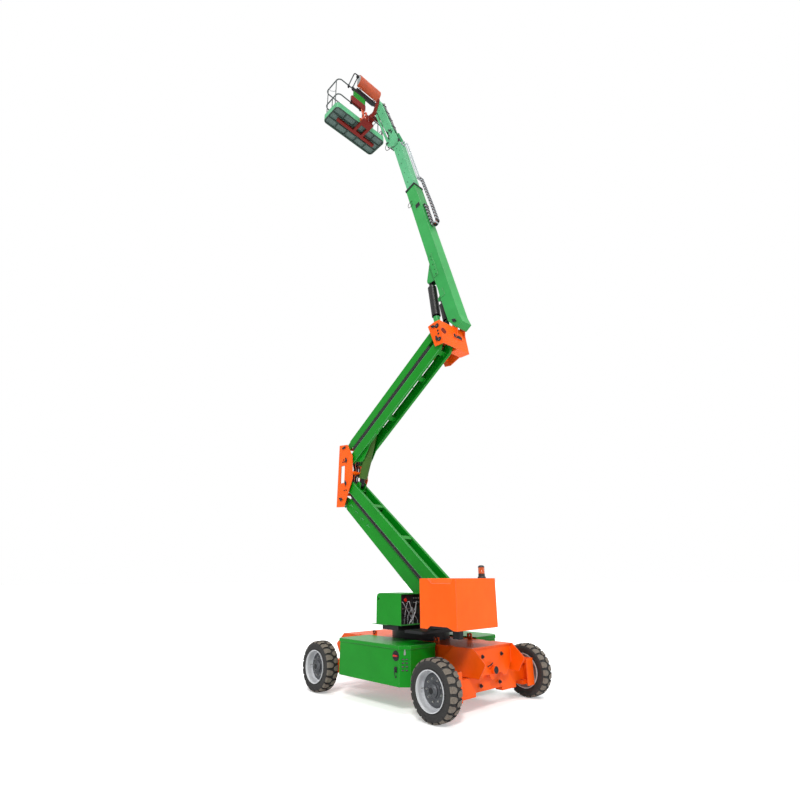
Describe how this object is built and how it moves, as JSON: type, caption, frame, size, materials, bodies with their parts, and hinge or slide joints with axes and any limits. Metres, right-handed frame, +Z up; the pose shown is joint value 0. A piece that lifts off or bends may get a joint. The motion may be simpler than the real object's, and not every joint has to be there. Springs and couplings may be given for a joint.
{
  "type": "articulating boom lift",
  "caption": "Self-propelled four-wheel boom lift with a folded double riser, a telescopic boom, a jib and a railed work platform.",
  "frame": {"origin": "on the ground, under the middle of the machine's bounding box with the boom raised", "axes": "+Z up, +X the way the boom reaches over the fixed axle, +Y the machine's left"},
  "size_m": [4.2494, 2.326, 15.004],
  "materials": {
    "basket_red": "satin dark red paint",
    "beacon_amber": "amber lens",
    "black_plastic": "matt black plastic",
    "boom_green": "gloss light green paint",
    "chassis_grey": "satin dark grey paint",
    "chrome_rod": "hard chrome, polished",
    "cover_orange": "matt moulded plastic",
    "dark_steel": "satin black paint",
    "hood_orange": "gloss orange paint",
    "machine_green": "gloss green paint",
    "olive_sleeve": "satin olive paint",
    "rail_grey": "satin grey paint",
    "rim_silver": "satin silver paint",
    "tyre_rubber": "moulded, matt"
  },
  "bodies": {
    "chassis": {"chassis_frame": "hood_orange", "front_axle": "hood_orange", "rear_axle": "hood_orange", "slew_ring": "dark_steel", "battery_box_left": "machine_green", "battery_box_right": "machine_green", "battery_pack_left": "dark_steel", "battery_pack_right": "dark_steel"},
    "lid_left": {"battery_lid_left": "machine_green"},
    "front_left_wheel": {"front_left_tyre": "tyre_rubber", "front_left_rim": "rim_silver"},
    "rear_left_wheel": {"rear_left_tyre": "tyre_rubber", "rear_left_rim": "rim_silver"},
    "knuckle_left": {"steer_knuckle_left": "hood_orange"},
    "lid_right": {"battery_lid_right": "machine_green"},
    "front_right_wheel": {"front_right_tyre": "tyre_rubber", "front_right_rim": "rim_silver"},
    "rear_right_wheel": {"rear_right_tyre": "tyre_rubber", "rear_right_rim": "rim_silver"},
    "knuckle_right": {"steer_knuckle_right": "hood_orange"},
    "track_rod": {"tie_rod": "dark_steel"},
    "turret": {"turret_frame": "chassis_grey", "counterweight": "dark_steel", "power_unit": "dark_steel", "control_cabinet": "machine_green", "control_panel": "black_plastic", "right_cover": "hood_orange"},
    "hood": {"tail_hood": "hood_orange", "beacon": "beacon_amber"},
    "riser_low": {"lower_riser": "machine_green"},
    "link_low": {"lower_link": "machine_green"},
    "mid": {"mid_knuckle": "hood_orange"},
    "riser_high": {"upper_riser": "machine_green"},
    "link_high": {"upper_link": "machine_green"},
    "top": {"upper_knuckle": "hood_orange"},
    "riser_cyl": {"riser_barrel": "olive_sleeve"},
    "riser_piston": {"riser_rod": "chrome_rod", "riser_rod_guard": "olive_sleeve"},
    "boom": {"boom_outer": "boom_green", "boom_collar": "dark_steel", "cable_carrier": "black_plastic"},
    "fly": {"boom_fly": "boom_green", "service_tubes": "rim_silver"},
    "tip": {"boom_tip": "boom_green"},
    "lift_cyl": {"lift_barrel": "dark_steel"},
    "lift_piston": {"lift_rod": "chrome_rod"},
    "level_cyl": {"level_barrel": "dark_steel"},
    "level_piston": {"level_rod": "chrome_rod"},
    "jib_arm": {"jib": "boom_green"},
    "jib_bar": {"jib_link": "boom_green"},
    "jib_cyl": {"jib_barrel": "dark_steel"},
    "jib_piston": {"jib_rod": "chrome_rod"},
    "basket_bracket": {"platform_bracket": "basket_red"},
    "platform": {"platform_support": "basket_red", "platform_floor": "boom_green", "platform_deck": "dark_steel", "platform_rails": "rail_grey", "console": "black_plastic"},
    "gate": {"platform_gate": "rail_grey"},
    "cover": {"console_cover": "cover_orange"}
  },
  "joints": [
    {"name": "lid_left_hinge", "type": "hinge", "parent": "chassis", "child": "lid_left", "pos_m": [-0.49625, 0.466, 0.806], "axis": [1, 0, 0], "range_deg": [0, 17]},
    {"name": "lid_right_hinge", "type": "hinge", "parent": "chassis", "child": "lid_right", "pos_m": [-0.49625, -0.466, 0.806], "axis": [-1, 0, 0], "range_deg": [0, 17]},
    {"name": "steer_left", "type": "hinge", "parent": "chassis", "child": "knuckle_left", "pos_m": [-1.75725, 0.845, 0.3675], "axis": [0, 0, 1], "range_deg": [-38, 38]},
    {"name": "steer_right", "type": "hinge", "parent": "chassis", "child": "knuckle_right", "pos_m": [-1.75725, -0.845, 0.3675], "axis": [0, 0, 1], "range_deg": [-38, 38]},
    {"name": "tie_rod_end", "type": "hinge", "parent": "knuckle_left", "child": "track_rod", "pos_m": [-1.56725, 0.845, 0.292], "axis": [0, 0, 1], "range_deg": [-38, 38]},
    {"name": "front_left_spin", "type": "hinge", "parent": "chassis", "child": "front_left_wheel", "pos_m": [0.76475, 1.0425, 0.3675], "axis": [0, 1, 0], "continuous": true},
    {"name": "rear_left_spin", "type": "hinge", "parent": "knuckle_left", "child": "rear_left_wheel", "pos_m": [-1.75725, 1.0425, 0.3675], "axis": [0, 1, 0], "continuous": true},
    {"name": "front_right_spin", "type": "hinge", "parent": "chassis", "child": "front_right_wheel", "pos_m": [0.76475, -1.0425, 0.3675], "axis": [0, 1, 0], "continuous": true},
    {"name": "rear_right_spin", "type": "hinge", "parent": "knuckle_right", "child": "rear_right_wheel", "pos_m": [-1.75725, -1.0425, 0.3675], "axis": [0, 1, 0], "continuous": true},
    {"name": "slew", "type": "hinge", "parent": "chassis", "child": "turret", "pos_m": [-0.49625, 0, 0.93], "axis": [0, 0, 1], "continuous": true},
    {"name": "hood_hinge", "type": "hinge", "parent": "turret", "child": "hood", "pos_m": [-1.68125, -0.12, 1.672], "axis": [1, 0, 0], "range_deg": [0, 55]},
    {"name": "riser_lift", "type": "hinge", "parent": "turret", "child": "riser_low", "pos_m": [-1.24125, 0.16, 1.498], "axis": [0, -1, 0], "range_deg": [-37, 3]},
    {"name": "lower_link_foot", "type": "hinge", "parent": "turret", "child": "link_low", "pos_m": [-1.11325, 0.16, 1.199], "axis": [0, -1, 0], "range_deg": [-37.01, 3.01]},
    {"name": "mid_knuckle_pin", "type": "hinge", "parent": "riser_low", "child": "mid", "pos_m": [1.15069, 0.16, 3.45578], "axis": [0, -1, 0], "range_deg": [-3.01, 37.01]},
    {"name": "upper_riser_pin", "type": "hinge", "parent": "mid", "child": "riser_high", "pos_m": [1.15869, 0.16, 3.91678], "axis": [0, -1, 0], "range_deg": [-3.01, 37.01]},
    {"name": "upper_link_foot", "type": "hinge", "parent": "mid", "child": "link_high", "pos_m": [1.23869, 0.16, 4.18678], "axis": [0, -1, 0], "range_deg": [-3.01, 37.01]},
    {"name": "upper_knuckle_pin", "type": "hinge", "parent": "riser_high", "child": "top", "pos_m": [-1.36711, 0.16, 5.69853], "axis": [0, -1, 0], "range_deg": [-37.01, 3.01]},
    {"name": "riser_barrel_pin", "type": "hinge", "parent": "riser_high", "child": "riser_cyl", "pos_m": [0.53956, 0.16, 4.42696], "axis": [0, -1, 0], "range_deg": [-3.35, 0.28]},
    {"name": "riser_rod_slide", "type": "slide", "parent": "riser_cyl", "child": "riser_piston", "axis": [0.3449, 0, -0.9386], "range_m": [-0.39322, 0.03189]},
    {"name": "boom_lift", "type": "hinge", "parent": "top", "child": "boom", "pos_m": [-1.4301, -0.2, 6.20653], "axis": [0, -1, 0], "range_deg": [-69, 1]},
    {"name": "lift_barrel_pin", "type": "hinge", "parent": "top", "child": "lift_cyl", "pos_m": [-0.99711, -0.2, 5.61953], "axis": [0, -1, 0], "range_deg": [-56.24, 0.82]},
    {"name": "lift_rod_slide", "type": "slide", "parent": "lift_cyl", "child": "lift_piston", "axis": [0.1294, 0, 0.9916], "range_m": [-0.7813, 0.01133]},
    {"name": "level_barrel_pin", "type": "hinge", "parent": "top", "child": "level_cyl", "pos_m": [-1.2571, -0.2, 5.71353], "axis": [0, -1, 0], "range_deg": [-46.26, 0.68]},
    {"name": "level_rod_slide", "type": "slide", "parent": "level_cyl", "child": "level_piston", "axis": [0.1985, 0, 0.9801], "range_m": [-0.47062, 0.00683]},
    {"name": "telescope", "type": "slide", "parent": "boom", "child": "fly", "axis": [0.2756, 0, 0.9613], "range_m": [-1.4, 0.1]},
    {"name": "tip_level", "type": "hinge", "parent": "fly", "child": "tip", "pos_m": [0.19616, -0.2, 11.87798], "axis": [0, -1, 0], "range_deg": [-1.01, 69.01]},
    {"name": "jib_lift", "type": "hinge", "parent": "tip", "child": "jib_arm", "pos_m": [0.38375, -0.2, 12.44], "axis": [0, -1, 0], "range_deg": [-112.8, 1.2]},
    {"name": "jib_link_foot", "type": "hinge", "parent": "tip", "child": "jib_bar", "pos_m": [0.48175, -0.2, 12.078], "axis": [0, -1, 0], "range_deg": [-112.81, 1.21]},
    {"name": "basket_bracket_pin", "type": "hinge", "parent": "jib_arm", "child": "basket_bracket", "pos_m": [0.91651, -0.2, 13.96989], "axis": [0, -1, 0], "range_deg": [-1.21, 112.81]},
    {"name": "jib_barrel_pin", "type": "hinge", "parent": "tip", "child": "jib_cyl", "pos_m": [0.42375, -0.2, 12.19], "axis": [0, -1, 0], "range_deg": [-108.09, 1.16]},
    {"name": "jib_rod_slide", "type": "slide", "parent": "jib_cyl", "child": "jib_piston", "axis": [0.3719, 0, 0.9283], "range_m": [-0.41441, 0.00442]},
    {"name": "platform_swing", "type": "hinge", "parent": "basket_bracket", "child": "platform", "pos_m": [1.34375, -0.15, 13.66789], "axis": [0, 0, -1], "range_deg": [-75, 75]},
    {"name": "gate_hinge", "type": "hinge", "parent": "platform", "child": "gate", "pos_m": [1.55425, -0.826, 14.075], "axis": [0, 0, 1], "range_deg": [0, 90]},
    {"name": "cover_hinge", "type": "hinge", "parent": "platform", "child": "cover", "pos_m": [1.37175, -0.0775, 14.62], "axis": [0, 1, 0], "range_deg": [0, 90]}
  ],
  "couplings": [
    {"joint": "steer_right", "follows": "steer_left", "ratio": 1},
    {"joint": "tie_rod_end", "follows": "steer_left", "ratio": -1},
    {"joint": "lower_link_foot", "follows": "riser_lift", "ratio": 1},
    {"joint": "mid_knuckle_pin", "follows": "riser_lift", "ratio": -1},
    {"joint": "upper_riser_pin", "follows": "riser_lift", "ratio": -1},
    {"joint": "upper_link_foot", "follows": "riser_lift", "ratio": -1},
    {"joint": "upper_knuckle_pin", "follows": "riser_lift", "ratio": 1},
    {"joint": "riser_barrel_pin", "follows": "riser_lift", "ratio": 0.090229},
    {"joint": "riser_rod_slide", "follows": "riser_lift", "m_per_rad": 0.6089},
    {"joint": "lift_barrel_pin", "follows": "boom_lift", "ratio": 0.81496},
    {"joint": "lift_rod_slide", "follows": "boom_lift", "m_per_rad": 0.64876},
    {"joint": "level_barrel_pin", "follows": "boom_lift", "ratio": 0.67022},
    {"joint": "level_rod_slide", "follows": "boom_lift", "m_per_rad": 0.39078},
    {"joint": "tip_level", "follows": "boom_lift", "ratio": -1},
    {"joint": "jib_link_foot", "follows": "jib_lift", "ratio": 1},
    {"joint": "basket_bracket_pin", "follows": "jib_lift", "ratio": -1},
    {"joint": "jib_barrel_pin", "follows": "jib_lift", "ratio": 0.95817},
    {"joint": "jib_rod_slide", "follows": "jib_lift", "m_per_rad": 0.21049}
  ]
}
